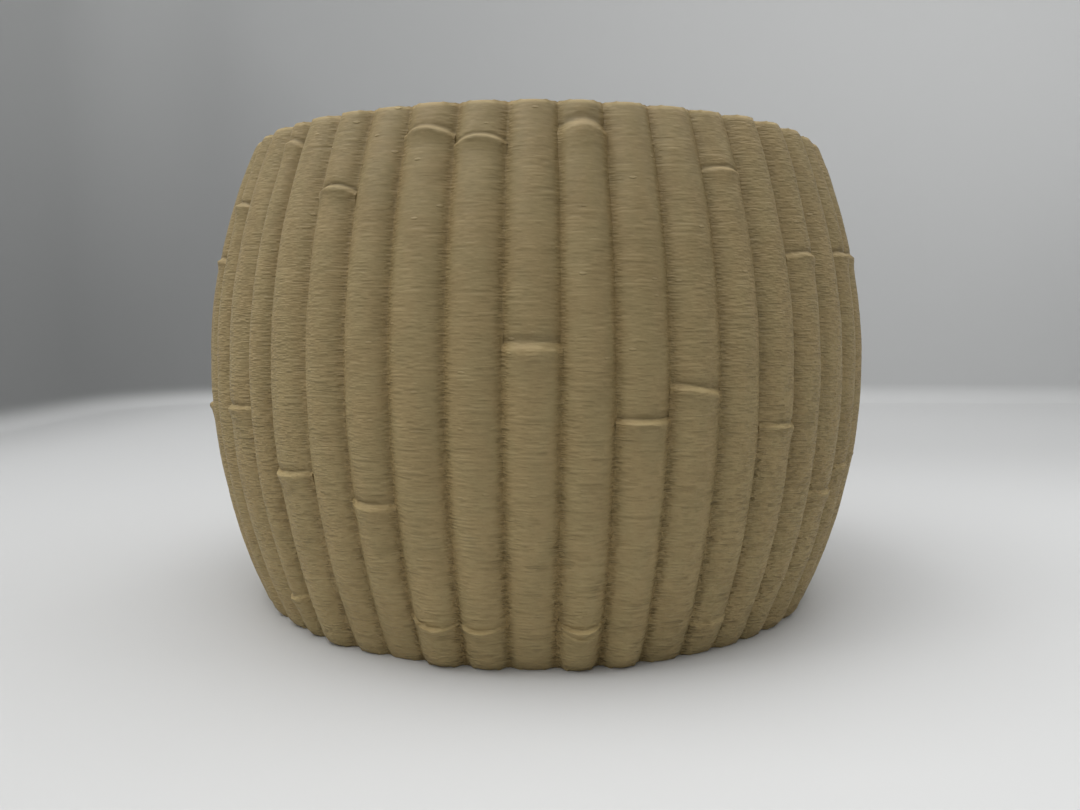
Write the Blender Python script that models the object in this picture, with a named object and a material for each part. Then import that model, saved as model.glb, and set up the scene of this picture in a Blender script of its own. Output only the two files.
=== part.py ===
"""Bamboo flower pot: bowed bamboo culms stand side by side round a barrel-shaped wall with a loose floor.

The frame has its origin at the middle of the base, +Z up, and the first culm faces -Y. Units are metres.
Each culm is lofted square to its bowed crest, swells at its node lips, and is cut flat at rim and base.
The culms are fuller than their share of the ring, so each meets its neighbours at two flat sides in a valley.
Its flat back seats on one flat of the many-sided wall. The floor drops in through the mouth onto a ledge.
"""

import math

import bmesh
import bpy
from mathutils import Vector

# The pot's outline, over the crests of the culms
HEIGHT = 0.0800
WIDEST_DIAMETER = 0.1200
WIDEST_HEIGHT = 0.0412
BASE_DIAMETER = 0.1022
RIM_DIAMETER = 0.1032

# The ring of culms
CULM_COUNT = 50
CULM_FULLNESS = 1.4
CULM_THICKNESS = 0.0040
CULM_SIDE_GAP = 0.0003
SEAT_GAP = 0.0003

# Heights of the node lips as shares of the pot's height, from the front culm round towards +X.
# The far half of the ring repeats the near half.
NODE_SHARES = (
    (0.594,),
    (0.965, 0.075),
    (0.467,),
    (0.518,),
    (0.898, 0.070),
    (0.446,),
    (0.756,),
    (0.300,),
    (0.340,),
    (0.767,),
    (0.932, 0.065),
    (0.550,),
    (0.375,),
    (0.650,),
    (0.942, 0.072),
    (0.453,),
    (0.757,),
    (0.863,),
    (0.464,),
    (0.967, 0.087),
    (0.354,),
    (0.865,),
    (0.312,),
    (0.958, 0.080),
    (0.940, 0.079),
)

# A node's profile up the culm: how far each ring lies above the lip, and how far it stands proud
LIP_PROUD = 0.0006
LIP_THICKNESS = 0.0004
NECK_SWELL = 0.0002
NECK_REACH = 0.0050
GROOVE_WIDTH = 0.0005
WAIST_DRAW = 0.00025
WAIST_DROP = 0.0045
WAIST_REACH = 0.0120

# The wall behind the culms, its ledge, and the floor that rests on it
WALL_THICKNESS = 0.0020
LEDGE_HEIGHT = 0.0020
LEDGE_BEARING = 0.0024
FLOOR_THICKNESS = 0.0024
FLOOR_EDGE_CHAMFER = 0.0005
DRAIN_DIAMETER = 0.0100

# How finely the curves are faceted
BOW_SPANS = 7
CREST_POINTS = 7
CLEAR_OF_NODE = 0.0030

HALF_PITCH = math.pi / CULM_COUNT
SIDE_THICKNESS = CULM_THICKNESS + SEAT_GAP + WALL_THICKNESS
END_OVERRUN = SIDE_THICKNESS


def outer_radius(height):
    """Radius over the culms' crests, one parabola below the widest height and one above."""
    widest = WIDEST_DIAMETER / 2
    if height < WIDEST_HEIGHT:
        return widest - (widest - BASE_DIAMETER / 2) * (1 - height / WIDEST_HEIGHT) ** 2
    rise = (height - WIDEST_HEIGHT) / (HEIGHT - WIDEST_HEIGHT)
    return widest - (widest - RIM_DIAMETER / 2) * rise**2


def culm_radius(height):
    """Radius of a culm's round crest, which narrows with the pot and is fuller than its share of the ring."""
    share = CULM_FULLNESS * math.sin(HALF_PITCH)
    return outer_radius(height) * share / (1 + share)


def outward(height):
    """Unit normal of a culm's crest, pointing out of the pot, as (radial, up)."""
    step = 0.001 * HEIGHT
    slope = (outer_radius(height + step) - outer_radius(height - step)) / (2 * step)
    length = math.hypot(1, slope)
    return 1 / length, -slope / length


def behind_crest(height, depth):
    """The point this far behind the crest, square to it, as (radius, height)."""
    radial, up = outward(height)
    return outer_radius(height) - depth * radial, height - depth * up


def bow_heights():
    """Heights on the crest where culms and wall both have a ring, so that their facets run parallel."""
    span = (HEIGHT + 2 * END_OVERRUN) / BOW_SPANS
    return [step * span - END_OVERRUN for step in range(BOW_SPANS + 1)]


def node_profile():
    """The rings of a node from below its waist to above its neck, as (rise, swell)."""
    return (
        (-WAIST_REACH, 0),
        (-WAIST_DROP, -WAIST_DRAW),
        (-3 * LIP_THICKNESS, 0.25 * LIP_PROUD),
        (-LIP_THICKNESS, LIP_PROUD),
        (0, LIP_PROUD),
        (GROOVE_WIDTH, 0.25 * NECK_SWELL),
        (2 * GROOVE_WIDTH, NECK_SWELL),
        (NECK_REACH, 0),
    )


def swell_at(height, nodes):
    """How far a culm stands proud of its plain radius at a height on its crest."""
    total = 0
    profile = node_profile()
    for node in nodes:
        rise = height - node
        for (low, low_swell), (high, high_swell) in zip(profile, profile[1:]):
            if low <= rise < high:
                total += low_swell + (high_swell - low_swell) * (rise - low) / (high - low)
    return total


def ring_heights(nodes):
    """Heights of a culm's rings: its nodes' own, and those of the bow that are well clear of them."""
    profile = node_profile()[1:-1]
    rings = [node + rise for node in nodes for rise, _ in profile]
    rings = [height for height in rings if -END_OVERRUN < height < HEIGHT + END_OVERRUN]
    for height in bow_heights():
        if all(abs(height - other) > CLEAR_OF_NODE for other in rings):
            rings.append(height)
    return sorted(rings)


def culm_section(height, swell):
    """One ring of a culm that faces -Y: a round crest, two sides beside the neighbours and a flat back."""
    radius = culm_radius(height) + swell
    radial, up = outward(height)
    centre, centre_height = behind_crest(height, culm_radius(height))
    tilt = math.tan(HALF_PITCH)
    side = CULM_SIDE_GAP / 2 / math.cos(HALF_PITCH)
    lean = tilt * radial
    half_arc = math.atan(lean) + math.asin((centre * tilt - side) / (radius * math.hypot(1, lean)))
    points = []
    for step in range(CREST_POINTS):
        turn = half_arc * (2 * step / (CREST_POINTS - 1) - 1)
        rise = radius * math.cos(turn)
        points.append(Vector((radius * math.sin(turn), -centre - rise * radial, centre_height + rise * up)))
    back, back_height = behind_crest(height, CULM_THICKNESS)
    half_width = back * tilt - side
    points.append(Vector((half_width, -back, back_height)))
    points.append(Vector((-half_width, -back, back_height)))
    return points


def loft(bm, sections):
    """Skin a run of sections with equal counts of points into one closed body."""
    rings = [[bm.verts.new(point) for point in section] for section in sections]
    count = len(rings[0])
    for lower, upper in zip(rings, rings[1:]):
        for near in range(count):
            far = (near + 1) % count
            bm.faces.new((lower[near], lower[far], upper[far], upper[near]))
    bm.faces.new(list(reversed(rings[0])))
    bm.faces.new(rings[-1])


def cut_level(bm, height, facing):
    """Cut a body level at a height, drop what lies on the facing side and close the cut."""
    geometry = bm.verts[:] + bm.edges[:] + bm.faces[:]
    cut = bmesh.ops.bisect_plane(
        bm,
        geom=geometry,
        plane_co=(0, 0, height),
        plane_no=(0, 0, facing),
        clear_outer=True,
    )
    edges = [item for item in cut["geom_cut"] if isinstance(item, bmesh.types.BMEdge)]
    bmesh.ops.contextual_create(bm, geom=edges)


def finish_mesh(bm, name):
    """Turn a bmesh into a smooth-shaded mesh with crisp corners."""
    bmesh.ops.recalc_face_normals(bm, faces=bm.faces[:])
    mesh = bpy.data.meshes.new(name)
    bm.to_mesh(mesh)
    bm.free()
    mesh.shade_smooth()
    mesh.set_sharp_from_angle(angle=math.radians(40))
    return mesh


def make_material(name, colour, roughness):
    material = bpy.data.materials.new(name)
    material.use_nodes = True
    shader = material.node_tree.nodes["Principled BSDF"]
    shader.inputs["Base Color"].default_value = (*colour, 1)
    shader.inputs["Roughness"].default_value = roughness
    shader.inputs["Metallic"].default_value = 0
    return material


def place(name, mesh, parent, turn=0):
    """Put a mesh in the scene under the pot's empty, turned about the pot's axis."""
    piece = bpy.data.objects.new(name, mesh)
    bpy.context.scene.collection.objects.link(piece)
    piece.parent = parent
    piece.rotation_euler.z = turn
    return piece


def culm_mesh(shares, material):
    """A culm with its node lips at these shares of the pot's height."""
    nodes = [share * HEIGHT for share in shares]
    bm = bmesh.new()
    loft(bm, [culm_section(height, swell_at(height, nodes)) for height in ring_heights(nodes)])
    cut_level(bm, 0, -1)
    cut_level(bm, HEIGHT, 1)
    mesh = finish_mesh(bm, "culm")
    mesh.materials.append(material)
    return mesh


def make_culms(parent):
    """The ring of culms, culm_01 in front and the rest round towards +X."""
    material = make_material("khaki_culm", (0.36, 0.29, 0.15), 0.75)
    meshes = [culm_mesh(shares, material) for shares in NODE_SHARES]
    for index in range(CULM_COUNT):
        mesh = meshes[index % len(meshes)]
        place(f"culm_{index + 1:02d}", mesh, parent, turn=2 * HALF_PITCH * index)


def cut_profile(points):
    """Trim a run of (radius, height) points that rises past both ends to the base and the rim."""
    trimmed = []
    for (low_radius, low), (high_radius, high) in zip(points, points[1:]):
        for end in (0, HEIGHT):
            if low < end < high:
                share = (end - low) / (high - low)
                trimmed.append((low_radius + (high_radius - low_radius) * share, end))
        if 0 < high < HEIGHT:
            trimmed.append((high_radius, high))
    return trimmed


def wall_face(depth):
    """A face of the wall this far behind the culms' crests, from base to rim."""
    return cut_profile([behind_crest(height, depth) for height in bow_heights()])


def radius_on(face, height):
    """Radius of a faceted face at a height."""
    for (low_radius, low), (high_radius, high) in zip(face, face[1:]):
        if low <= height <= high:
            return low_radius + (high_radius - low_radius) * (height - low) / (high - low)
    return face[-1][0]


def wall_inside():
    return wall_face(SIDE_THICKNESS)


def floor_radius():
    """Radius of the floor, as wide as the mouth and the foot of the wall let through."""
    inside = wall_inside()
    return min(radius_on(inside, LEDGE_HEIGHT), radius_on(inside, HEIGHT)) - SEAT_GAP


def turned(profile, sides):
    """Spin a closed (radius, height) profile about Z, with a flat facing -Y."""
    bm = bmesh.new()
    half = math.pi / sides
    verts = []
    for radius, height in profile:
        corner = radius / math.cos(half)
        verts.append(bm.verts.new((corner * math.sin(half), -corner * math.cos(half), height)))
    edges = [bm.edges.new((verts[at], verts[(at + 1) % len(verts)])) for at in range(len(verts))]
    bmesh.ops.spin(
        bm,
        geom=verts + edges,
        cent=(0, 0, 0),
        axis=(0, 0, 1),
        angle=2 * math.pi,
        steps=sides,
        use_merge=True,
    )
    bmesh.ops.remove_doubles(bm, verts=bm.verts[:], dist=0.01 * SEAT_GAP)
    return bm


def make_inner_wall(parent):
    """The barrel wall that holds the soil, with a flat behind each culm and a ledge round its base."""
    outside = wall_face(CULM_THICKNESS + SEAT_GAP)
    inside = wall_inside()
    seat = radius_on(inside, LEDGE_HEIGHT)
    bore = floor_radius() - LEDGE_BEARING
    above = [point for point in reversed(inside) if point[1] > LEDGE_HEIGHT]
    profile = outside + above + [(seat, LEDGE_HEIGHT), (bore, LEDGE_HEIGHT), (bore, 0)]
    mesh = finish_mesh(turned(profile, CULM_COUNT), "inner_wall")
    mesh.materials.append(make_material("khaki_wall", (0.34, 0.27, 0.14), 0.8))
    place("inner_wall", mesh, parent)


def make_floor(parent):
    """The floor disc that rests on the ledge, with its drain hole in the middle."""
    radius = floor_radius()
    hole = DRAIN_DIAMETER / 2
    low = LEDGE_HEIGHT + SEAT_GAP
    high = low + FLOOR_THICKNESS
    profile = [
        (hole, low),
        (radius, low),
        (radius, high - FLOOR_EDGE_CHAMFER),
        (radius - FLOOR_EDGE_CHAMFER, high),
        (hole, high),
    ]
    mesh = finish_mesh(turned(profile, CULM_COUNT), "floor")
    mesh.materials.append(make_material("khaki_floor", (0.33, 0.26, 0.14), 0.85))
    place("floor", mesh, parent)


def clear_scene():
    for item in list(bpy.data.objects):
        bpy.data.objects.remove(item, do_unlink=True)


def main():
    clear_scene()
    pot = bpy.data.objects.new("pot", None)
    bpy.context.scene.collection.objects.link(pot)
    make_culms(pot)
    make_inner_wall(pot)
    make_floor(pot)


main()
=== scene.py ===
import math

import bmesh
import bpy
from mathutils import Matrix, Vector


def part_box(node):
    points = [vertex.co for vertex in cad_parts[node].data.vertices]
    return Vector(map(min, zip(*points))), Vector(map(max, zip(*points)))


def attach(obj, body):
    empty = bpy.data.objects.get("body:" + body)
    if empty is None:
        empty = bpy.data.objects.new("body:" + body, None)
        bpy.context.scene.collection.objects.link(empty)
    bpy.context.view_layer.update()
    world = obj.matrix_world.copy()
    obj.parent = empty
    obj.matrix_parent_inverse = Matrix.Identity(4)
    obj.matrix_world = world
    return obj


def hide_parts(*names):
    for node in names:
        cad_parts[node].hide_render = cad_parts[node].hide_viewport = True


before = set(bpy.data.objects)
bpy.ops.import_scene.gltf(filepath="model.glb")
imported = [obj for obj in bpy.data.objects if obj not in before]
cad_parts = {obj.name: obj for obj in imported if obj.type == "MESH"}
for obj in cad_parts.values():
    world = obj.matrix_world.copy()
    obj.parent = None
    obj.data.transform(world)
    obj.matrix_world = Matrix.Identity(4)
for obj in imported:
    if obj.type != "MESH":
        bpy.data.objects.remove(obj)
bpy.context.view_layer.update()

bl_info = {
    "name": "Bamboo Pot Dressing",
    "version": (1, 0, 0),
    "blender": (4, 5, 0),
    "location": "3D View > Sidebar > Bamboo Pot",
    "description": "Dresses the packed bamboo flower pot as a khaki print: culms, wall and floor",
    "category": "Object",
}

CULM_COUNT = 50
NEAR_CULMS = 25
HALF_PITCH = math.pi / CULM_COUNT
MM = 0.001

# How near two heights are when they count as the same
TOUCH = 1e-6

# Each culm from the front one round towards +X: how far round its joint with the next culm lies,
# and how much further round its foot is than its head, both in degrees, how far its head at the
# rim and its foot at the base stand out, in mm, and its nodes. A node has its height as a share of
# the pot's, how far the left and right ends of its lip lie above its middle, in mm, how proud the
# lip is, how tall its ledge is, and how deep the groove above it is
CULMS = (
    (3.75, 0.0, 0.1, -0.6, ((0.594, 0.05, 0.00, 1.00, 1.35, 0.90),)),
    (11.0, 0.3, 0.3, 0.6, (
        (0.965, -0.40, -0.30, 1.00, 1.40, 0.75),
        (0.078, 0.30, 0.60, 0.60, 0.50, 0.20),
        (0.092, 0.20, 0.60, 1.25, 0.50, 0.60),
    )),
    (18.5, 0.4, 0.1, 0.6, ((0.466, 0.00, 0.05, 1.10, 0.82, 1.15),)),
    (26.3, 0.5, -0.2, -0.5, ((0.518, 0.62, -0.65, 1.05, 0.85, 0.90),)),
    (33.4, 1.0, -0.3, -0.8, (
        (0.898, 0.10, -0.15, 0.90, 0.65, 0.90),
        (0.074, -0.20, 0.25, 0.75, 1.00, 0.40),
    )),
    (40.7, 0.8, 0.4, -0.6, ((0.446, 0.15, -0.10, 0.95, 0.75, 0.90),)),
    (47.8, 0.4, 0.5, -0.5, ((0.756, 0.00, -0.15, 0.95, 0.72, 0.90),)),
    (55.9, 0.0, 0.3, -0.2, ((0.300, 0.05, 0.00, 0.80, 0.80, 0.90),)),
    (63.3, 0.0, 0.0, 0.1, (
        (0.340, -0.10, -0.15, 0.75, 0.72, 1.00),
        (0.767, 0.10, -0.15, 1.00, 0.72, 1.10),
    )),
    (70.7, 0.0, 0.1, -0.2, ((0.770, 0.10, -0.15, 0.70, 0.72, 0.80),)),
    (78.0, 0.0, -0.2, 0.2, ((0.345, 0.05, 0.00, 0.70, 0.80, 0.90),)),
    (85.2, 0.0, 0.0, -0.1, ((0.550, 0.20, -0.15, 1.00, 0.80, 1.00),)),
    (92.2, 0.0, 0.2, 0.1, ((0.375, -0.15, 0.10, 0.95, 0.85, 0.90),)),
    (98.9, 0.0, -0.1, -0.2, ((0.650, 0.10, -0.10, 1.05, 0.80, 1.10),)),
    (105.2, 0.0, 0.0, 0.3, (
        (0.942, -0.25, -0.30, 0.90, 1.00, 0.80),
        (0.075, 0.20, 0.15, 1.05, 0.70, 0.50),
    )),
    (111.3, 0.0, 0.1, -0.1, ((0.453, 0.00, 0.00, 1.00, 0.75, 1.00),)),
    (117.9, 0.0, -0.1, 0.0, ((0.757, 0.10, -0.10, 0.95, 0.62, 0.90),)),
    (124.5, 0.0, 0.0, 0.1, ((0.863, -0.10, -0.20, 1.00, 0.62, 1.00),)),
    (132.9, 0.0, 0.1, -0.2, ((0.464, 0.00, 0.05, 0.90, 0.65, 1.00),)),
    (138.3, 0.3, -0.1, -0.1, (
        (0.967, -0.25, -0.35, 0.85, 0.75, 0.80),
        (0.090, 0.05, 0.30, 1.05, 0.70, 0.50),
    )),
    (146.2, 0.9, 0.0, 0.4, ((0.354, 0.00, 0.05, 1.00, 0.72, 1.00),)),
    (153.35, 1.3, 0.0, -0.3, ((0.865, -0.70, -0.50, 1.05, 0.60, 1.00),)),
    (160.4, 1.0, -0.4, -0.9, ((0.312, 0.20, -0.10, 1.00, 0.95, 1.00),)),
    (168.4, 0.7, 0.1, 0.5, (
        (0.958, 0.00, -0.40, 1.15, 0.70, 0.55),
        (0.089, 0.85, -0.05, 1.20, 0.50, 0.30),
    )),
    (176.1, 0.3, 0.0, 0.2, (
        (0.940, -0.45, -0.30, 1.10, 0.60, 0.50),
        (0.088, 0.00, 0.30, 1.25, 0.50, 0.30),
    )),
)

# Degrees by which neighbouring culms overlap, as they are fused
JOINT_OVERLAP = 0.15

# A node's profile going up the culm: how far each point lies above the ledge's top, in ledge
# heights, and how far it stands out, as a share of the lip's height
LIP_PROFILE = (
    (-6.0, 0.00), (-4.0, 0.14), (-2.4, 0.52), (-1.5, 0.84), (-1.05, 0.93), (-0.85, 0.84),
    (-0.10, -0.34), (0.05, -0.56), (0.30, -0.54), (0.80, -0.24), (1.5, -0.07), (2.3, 0.00),
)

# The painted highlight on the ledge and the painted shade in the groove: the height where each
# begins, how far it takes to grow and to fade, and the height where it ends, in ledge heights above
# the ledge's top
LEDGE_HIGHLIGHT_MARK = (-1.6, 0.5, 0.25, -0.1)
GROOVE_SHADE_MARK = (-0.1, 0.12, 1.0, 1.2)


def lip_swell(steps, groove):
    """How far a node stands out, in lip heights, this many ledge heights above the ledge's top."""
    for (low, low_swell), (high, high_swell) in zip(LIP_PROFILE, LIP_PROFILE[1:]):
        if low <= steps < high:
            swell = low_swell + (high_swell - low_swell) * (steps - low) / (high - low)
            return swell * groove if swell < 0 else swell
    return 0.0


class BAMBOO_PG_shape(bpy.types.PropertyGroup):
    """Sizes of the pot and its culms"""

    height: bpy.props.FloatProperty(
        name="Height", description="From the base to the rim", default=0.080, unit="LENGTH"
    )
    widest: bpy.props.FloatProperty(
        name="Widest Radius", description="Over the crests of the culms",
        default=0.0600, unit="LENGTH",
    )
    widest_height: bpy.props.FloatProperty(
        name="Widest Height", description="Where the pot is widest", default=0.0412, unit="LENGTH"
    )
    base: bpy.props.FloatProperty(
        name="Base Radius", description="Over the crests, at the base",
        default=0.0511, unit="LENGTH",
    )
    rim: bpy.props.FloatProperty(
        name="Rim Radius", description="Over the crests, at the rim", default=0.0516, unit="LENGTH"
    )
    fullness: bpy.props.FloatProperty(
        name="Fullness", description="A culm's radius over half its share of the ring", default=1.15
    )
    thickness: bpy.props.FloatProperty(
        name="Culm Thickness", description="From a culm's crest to its flat back",
        default=0.0044, unit="LENGTH",
    )
    row: bpy.props.FloatProperty(
        name="Row", description="Height of one row of faces up a culm",
        default=0.0004, unit="LENGTH",
    )
    lip: bpy.props.FloatProperty(
        name="Lip", description="How far a node's lip stands out", default=0.00056, unit="LENGTH"
    )
    ledge: bpy.props.FloatProperty(
        name="Ledge", description="How tall the sloping ledge above a lip is",
        default=0.0009, unit="LENGTH",
    )


class BAMBOO_PG_print(bpy.types.PropertyGroup):
    """Colours and print marks of the khaki plastic, with its lit colour and its painted shade
    between the layers
    """

    lit: bpy.props.FloatVectorProperty(
        name="Khaki", description="Colour of the plastic",
        default=(0.352, 0.268, 0.129), subtype="COLOR",
    )
    # The colour between the layers is partly the print's own and partly painted shade in the
    # grooves
    shade: bpy.props.FloatVectorProperty(
        name="Khaki In Grooves", description="Colour between the layers",
        default=(0.234, 0.174, 0.077), subtype="COLOR",
    )
    roughness: bpy.props.FloatProperty(
        name="Roughness", description="How matte the plastic is", default=0.62, subtype="FACTOR"
    )
    layer: bpy.props.FloatProperty(
        name="Layer", description="Height of a printed layer", default=0.0004, unit="LENGTH"
    )
    relief: bpy.props.FloatProperty(
        name="Relief", description="How deep the print marks are", default=0.00025, unit="LENGTH"
    )


class BAMBOO_PG_studio(bpy.types.PropertyGroup):
    """Stage, light and camera"""

    floor: bpy.props.FloatVectorProperty(
        name="Floor", description="Colour of the pale floor",
        default=(0.540, 0.545, 0.545), subtype="COLOR",
    )
    # The left colour is darker by painted shade, the right one lighter by painted light
    wall_left: bpy.props.FloatVectorProperty(
        name="Wall, Left", description="Colour of the backdrop on the left",
        default=(0.253, 0.257, 0.257), subtype="COLOR",
    )
    wall_right: bpy.props.FloatVectorProperty(
        name="Wall, Right", description="Colour of the backdrop on the right",
        default=(0.455, 0.460, 0.460), subtype="COLOR",
    )
    wall_height: bpy.props.FloatProperty(
        name="Wall Height", description="Of the low walls round the floor",
        default=0.27, unit="LENGTH",
    )


def crest(shape, height):
    """Radius over the crests at a height."""
    if height < shape.widest_height:
        fall = 1 - height / shape.widest_height
        return shape.widest - (shape.widest - shape.base) * fall**2
    rise = (height - shape.widest_height) / (shape.height - shape.widest_height)
    return shape.widest - (shape.widest - shape.rim) * rise**2


def crest_tilt(shape, height):
    """Angle by which the crest leans in, going up, at a height."""
    step = 0.0001
    return math.atan((crest(shape, height - step) - crest(shape, height + step)) / (2 * step))


def culm_radius(shape, height):
    """Radius of a culm's round crest at a height."""
    share = shape.fullness * math.sin(HALF_PITCH)
    return crest(shape, height) * share / (1 + share)


def select_only(piece):
    """Selects one piece and makes it the active one."""
    bpy.ops.object.select_all(action="DESELECT")
    piece.select_set(True)
    bpy.context.view_layer.objects.active = piece


def start_edit(piece):
    """Opens one piece in edit mode, picking vertices."""
    select_only(piece)
    bpy.context.tool_settings.mesh_select_mode = (True, False, False)
    bpy.ops.object.mode_set(mode="EDIT")


def end_edit():
    """Leaves edit mode."""
    bpy.ops.object.mode_set(mode="OBJECT")


def pick(piece, wanted):
    """Selects the vertices of the piece in edit mode whose place is wanted."""
    bpy.context.tool_settings.mesh_select_mode = (True, False, False)
    bpy.ops.mesh.select_all(action="DESELECT")
    shell = bmesh.from_edit_mesh(piece.data)
    for vert in shell.verts:
        vert.select = wanted(vert.co)
    shell.select_flush(True)
    bmesh.update_edit_mesh(piece.data)


def pick_edges(piece, wanted):
    """Selects the edges of the piece in edit mode whose two ends are wanted."""
    bpy.context.tool_settings.mesh_select_mode = (False, True, False)
    bpy.ops.mesh.select_all(action="DESELECT")
    shell = bmesh.from_edit_mesh(piece.data)
    for edge in shell.edges:
        edge.select = wanted(edge.verts[0].co, edge.verts[1].co)
    bmesh.update_edit_mesh(piece.data)


def ease_move(step, reach):
    """Moves the picked vertices by a step, and their neighbours within reach less and less."""
    bpy.ops.transform.translate(
        value=step,
        use_proportional_edit=True,
        proportional_edit_falloff="SHARP",
        proportional_size=reach,
    )


def grow_rows(shape, end):
    """Extrudes the picked ring up or down the bowed crest, tilting and narrowing, to an end."""
    start = shape.widest_height
    count = math.ceil(abs(end - start) / shape.row)
    heights = [start + (end - start) * step / count for step in range(count + 1)]
    for before, after in zip(heights, heights[1:]):
        step = (0, crest(shape, before) - crest(shape, after), after - before)
        bpy.ops.mesh.extrude_region_move(TRANSFORM_OT_translate={"value": step})
        here = (0, -crest(shape, after), after)
        narrow = culm_radius(shape, after) / culm_radius(shape, before)
        bpy.ops.transform.resize(value=(narrow, narrow, narrow), center_override=here)
        turn = crest_tilt(shape, after) - crest_tilt(shape, before)
        bpy.ops.transform.rotate(
            value=turn, orient_axis="X", orient_type="GLOBAL", center_override=here
        )


# The plain cane: its first circle's corners, the degrees from the crest that are kept and those
# past which the edge eases out into a fillet, how far it eases and how far that reaches, and how
# far the cane is first drawn past the rim and the base
CIRCLE_CORNERS = 96
KEPT_ARC = 65
FILLET_ARC = 62
FILLET_DEPTH = 0.00036
FILLET_REACH = 0.0012
OVERRUN = 0.0022


def make_cane(shape):
    """A plain cane that faces -Y, bowed like the barrel, cut level at the rim and the base."""
    middle = shape.widest_height
    radius = culm_radius(shape, middle)
    axis = -shape.widest + radius
    bpy.ops.object.select_all(action="DESELECT")
    bpy.ops.mesh.primitive_circle_add(
        vertices=CIRCLE_CORNERS, radius=radius, location=(0, axis, middle)
    )
    cane = bpy.context.object
    cane.name = "plain_cane"
    bpy.ops.object.transform_apply(location=True)
    start_edit(cane)
    pick(cane, lambda at: (axis - at.y) < radius * math.cos(math.radians(KEPT_ARC)))
    bpy.ops.mesh.delete(type="VERT")
    pick(cane, lambda at: abs(at.x) > radius * math.sin(math.radians(FILLET_ARC)))
    ease_move((0, -FILLET_DEPTH, 0), FILLET_REACH)
    edge = -max(vert.co.y for vert in bmesh.from_edit_mesh(cane.data).verts)
    back = shape.thickness - (shape.widest - edge)
    bpy.ops.mesh.extrude_vertices_move(TRANSFORM_OT_translate={"value": (0, back, 0)})
    bpy.ops.mesh.edge_face_add()
    bpy.ops.mesh.select_all(action="SELECT")
    grow_rows(shape, shape.height + OVERRUN)
    pick(cane, lambda at: abs(at.z - middle) < TOUCH)
    grow_rows(shape, -OVERRUN)
    for level, facing in ((0, -1), (shape.height, 1)):
        bpy.ops.mesh.select_all(action="SELECT")
        bpy.ops.mesh.bisect(
            plane_co=(0, 0, level), plane_no=(0, 0, facing), use_fill=True, clear_outer=True
        )
    for hand in (-1, 1):
        press_side(cane, hand)
    bpy.ops.mesh.select_all(action="SELECT")
    bpy.ops.mesh.normals_make_consistent(inside=False)
    round_ends(cane, shape)
    end_edit()
    mark = cane.data.attributes.new("across", "FLOAT", "POINT")
    for vert, spot in zip(cane.data.vertices, mark.data):
        spot.value = min(1.0, abs(vert.co.x) / (-vert.co.y * math.tan(HALF_PITCH)))
    return cane


# Points of the cane past this share of the way to its neighbour's plane are pressed flat, and the
# flat lies this many radians past the plane
PRESSED_FROM = 0.968
PRESSED_PAST = 0.0009


def press_side(cane, hand):
    """Presses one side of the cane flat, a hair past the plane it shares with its neighbour."""
    slope = math.tan(HALF_PITCH)
    pick(cane, lambda at: hand * at.x > -PRESSED_FROM * at.y * slope)
    turn = HALF_PITCH + PRESSED_PAST
    cos, sin = math.cos(turn), math.sin(turn)
    across = Matrix(((cos, -hand * sin, 0), (hand * sin, cos, 0), (0, 0, 1)))
    bpy.ops.transform.resize(
        value=(0, 1, 1),
        orient_type="GLOBAL",
        orient_matrix=across,
        orient_matrix_type="GLOBAL",
        center_override=(0, 0, 0),
    )


# How far the crest is drawn in, how far up or down the cane that reaches, and how wide its edge is
# rounded, at the base and at the rim
BASE_EDGE = (0.00060, 0.0020, 0.00040)
RIM_EDGE = (0.00020, 0.0010, 0.00042)
EDGE_SEGMENTS = 3
# How deep the rounded edge goes, as a share of the culm's radius
EDGE_DEPTH = 0.75


def round_ends(cane, shape):
    """Draws the crest's edge in at the rim and the base, and rounds it."""
    for level, (inwards, reach, width) in ((0, BASE_EDGE), (shape.height, RIM_EDGE)):
        depth = -crest(shape, level) + EDGE_DEPTH * culm_radius(shape, level)

        def at_end(at):
            return abs(at.z - level) < TOUCH and at.y < depth

        pick(cane, at_end)
        ease_move((0, inwards, 0), reach)
        pick_edges(cane, lambda one, other: at_end(one) and at_end(other))
        bpy.ops.mesh.bevel(
            offset=width, segments=EDGE_SEGMENTS, affect="EDGES", clamp_overlap=True
        )


def node_rise(shape, node, spread):
    """A function that gives how far a point of the front cane lies above a node's lip."""
    share, left, right = node[:3]
    height = share * shape.height
    tilt = crest_tilt(shape, height)
    along = Vector((0, math.sin(tilt), math.cos(tilt)))
    centre = Vector((0, -crest(shape, height), height))
    half = crest(shape, height) * math.sin(HALF_PITCH) * spread

    def rise(at):
        across = at.x / half
        line = MM * ((right - left) / 2 * across + (right + left) / 2 * across**2)
        return (at - centre).dot(along) - line

    return rise


# The finer rows round a node: their reach in ledges, how far they keep from the rim and the base,
# the cuts in each row, and the share of a row that an edge has to climb to be cut
FINE_REACH = 2.6
FINE_CLEAR = 0.0006
FINE_CUTS = 2
FINE_CLIMB = 0.5


def refine_node(cane, shape, node, spread):
    """Cuts finer rows across the front of the cane round a node."""
    rise = node_rise(shape, node, spread)
    reach = FINE_REACH * shape.ledge
    low, high = FINE_CLEAR, shape.height - FINE_CLEAR

    def along_cane(one, other):
        first, second = rise(one), rise(other)
        near = abs(first) < reach and abs(second) < reach
        clear = low < min(one.z, other.z) and max(one.z, other.z) < high
        return near and clear and abs(first - second) > FINE_CLIMB * shape.row

    start_edit(cane)
    pick_edges(cane, along_cane)
    bpy.ops.mesh.subdivide(number_cuts=FINE_CUTS, smoothness=0)
    end_edit()


def weigh(cane, name, weight):
    """Adds a vertex group whose weights follow a function of place."""
    least = 0.002
    group = cane.vertex_groups.new(name=name)
    for vert in cane.data.vertices:
        share = weight(vert.co)
        if share > least:
            group.add([vert.index], min(share, 1.0), "REPLACE")
    return name


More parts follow.
